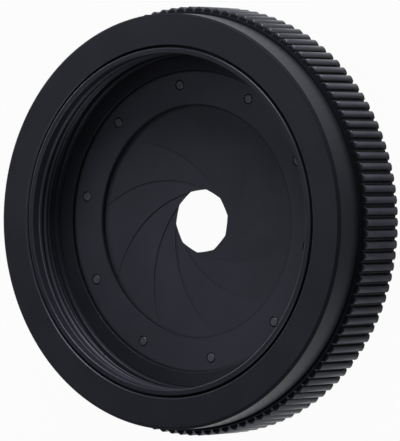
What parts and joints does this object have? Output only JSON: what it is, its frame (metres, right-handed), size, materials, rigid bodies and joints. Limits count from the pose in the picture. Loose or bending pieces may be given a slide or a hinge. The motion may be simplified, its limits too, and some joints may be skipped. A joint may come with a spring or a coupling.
{
  "type": "iris diaphragm",
  "caption": "Screw-mount iris diaphragm: thin pivoted blades between a pivot plate and a slotted rotor, opened and closed by a ribbed control ring",
  "frame": {"origin": "on the optical axis, at the end of the rear spigot", "axes": "+Z along the optical axis, from the rear spigot to the front face; X and Y across it, with the drive screw on -X"},
  "size_m": [0.0526, 0.0526, 0.0165],
  "materials": {
    "barrel_anodised": "satin black anodised, turned",
    "lip_ring_anodised": "satin black anodised, turned",
    "retainer_anodised": "matt black anodised, turned",
    "pivot_plate_black": "matt black anodised, flat",
    "cover_anodised": "satin black anodised, turned",
    "control_ring_anodised": "satin black anodised, ribbed",
    "rotor_brass": "blackened, turned and slotted",
    "screw_black_steel": "black oxide",
    "spring_steel": "bright spring strip",
    "blade_blackened": "blackened thin sheet, matt",
    "pin_steel": "blackened, worn end"
  },
  "bodies": {
    "housing": {"front_barrel": "barrel_anodised", "front_lip_ring": "lip_ring_anodised", "plate_retaining_ring": "retainer_anodised", "pivot_plate": "pivot_plate_black", "rear_cover": "cover_anodised", "cover_screws": "screw_black_steel", "wave_washer": "spring_steel"},
    "control": {"control_ring": "control_ring_anodised", "slotted_rotor": "rotor_brass", "drive_screw": "screw_black_steel"},
    "iris_blade_01": {"blade_01": "blade_blackened", "pivot_pin_01": "pin_steel", "drive_pin_01": "pin_steel"},
    "iris_blade_02": {"blade_02": "blade_blackened", "pivot_pin_02": "pin_steel", "drive_pin_02": "pin_steel"},
    "iris_blade_03": {"blade_03": "blade_blackened", "pivot_pin_03": "pin_steel", "drive_pin_03": "pin_steel"},
    "iris_blade_04": {"blade_04": "blade_blackened", "pivot_pin_04": "pin_steel", "drive_pin_04": "pin_steel"},
    "iris_blade_05": {"blade_05": "blade_blackened", "pivot_pin_05": "pin_steel", "drive_pin_05": "pin_steel"},
    "iris_blade_06": {"blade_06": "blade_blackened", "pivot_pin_06": "pin_steel", "drive_pin_06": "pin_steel"},
    "iris_blade_07": {"blade_07": "blade_blackened", "pivot_pin_07": "pin_steel", "drive_pin_07": "pin_steel"},
    "iris_blade_08": {"blade_08": "blade_blackened", "pivot_pin_08": "pin_steel", "drive_pin_08": "pin_steel"},
    "iris_blade_09": {"blade_09": "blade_blackened", "pivot_pin_09": "pin_steel", "drive_pin_09": "pin_steel"},
    "iris_blade_10": {"blade_10": "blade_blackened", "pivot_pin_10": "pin_steel", "drive_pin_10": "pin_steel"}
  },
  "joints": [
    {"name": "ring_turn", "type": "hinge", "parent": "housing", "child": "control", "pos_m": [0, 0, 0.0085], "axis": [0, 0, 1], "range_deg": [-1.98, 71.29]},
    {"name": "blade_01_swing", "type": "hinge", "parent": "housing", "child": "iris_blade_01", "pos_m": [0.01516, 0.0074, 0.01], "axis": [0, 0, 1], "range_deg": [-1, 36]},
    {"name": "blade_02_swing", "type": "hinge", "parent": "housing", "child": "iris_blade_02", "pos_m": [0.00791, 0.0149, 0.01], "axis": [0, 0, 1], "range_deg": [-1, 36]},
    {"name": "blade_03_swing", "type": "hinge", "parent": "housing", "child": "iris_blade_03", "pos_m": [-0.00236, 0.0167, 0.01], "axis": [0, 0, 1], "range_deg": [-1, 36]},
    {"name": "blade_04_swing", "type": "hinge", "parent": "housing", "child": "iris_blade_04", "pos_m": [-0.01173, 0.01213, 0.01], "axis": [0, 0, 1], "range_deg": [-1, 36]},
    {"name": "blade_05_swing", "type": "hinge", "parent": "housing", "child": "iris_blade_05", "pos_m": [-0.01662, 0.00292, 0.01], "axis": [0, 0, 1], "range_deg": [-1, 36]},
    {"name": "blade_06_swing", "type": "hinge", "parent": "housing", "child": "iris_blade_06", "pos_m": [-0.01516, -0.0074, 0.01], "axis": [0, 0, 1], "range_deg": [-1, 36]},
    {"name": "blade_07_swing", "type": "hinge", "parent": "housing", "child": "iris_blade_07", "pos_m": [-0.00791, -0.0149, 0.01], "axis": [0, 0, 1], "range_deg": [-1, 36]},
    {"name": "blade_08_swing", "type": "hinge", "parent": "housing", "child": "iris_blade_08", "pos_m": [0.00236, -0.0167, 0.01], "axis": [0, 0, 1], "range_deg": [-1, 36]},
    {"name": "blade_09_swing", "type": "hinge", "parent": "housing", "child": "iris_blade_09", "pos_m": [0.01173, -0.01213, 0.01], "axis": [0, 0, 1], "range_deg": [-1, 36]},
    {"name": "blade_10_swing", "type": "hinge", "parent": "housing", "child": "iris_blade_10", "pos_m": [0.01662, -0.00292, 0.01], "axis": [0, 0, 1], "range_deg": [-1, 36]}
  ],
  "couplings": [
    {"joint": "blade_01_swing", "follows": "ring_turn", "ratio": 0.505},
    {"joint": "blade_02_swing", "follows": "ring_turn", "ratio": 0.505},
    {"joint": "blade_03_swing", "follows": "ring_turn", "ratio": 0.505},
    {"joint": "blade_04_swing", "follows": "ring_turn", "ratio": 0.505},
    {"joint": "blade_05_swing", "follows": "ring_turn", "ratio": 0.505},
    {"joint": "blade_06_swing", "follows": "ring_turn", "ratio": 0.505},
    {"joint": "blade_07_swing", "follows": "ring_turn", "ratio": 0.505},
    {"joint": "blade_08_swing", "follows": "ring_turn", "ratio": 0.505},
    {"joint": "blade_09_swing", "follows": "ring_turn", "ratio": 0.505},
    {"joint": "blade_10_swing", "follows": "ring_turn", "ratio": 0.505}
  ]
}
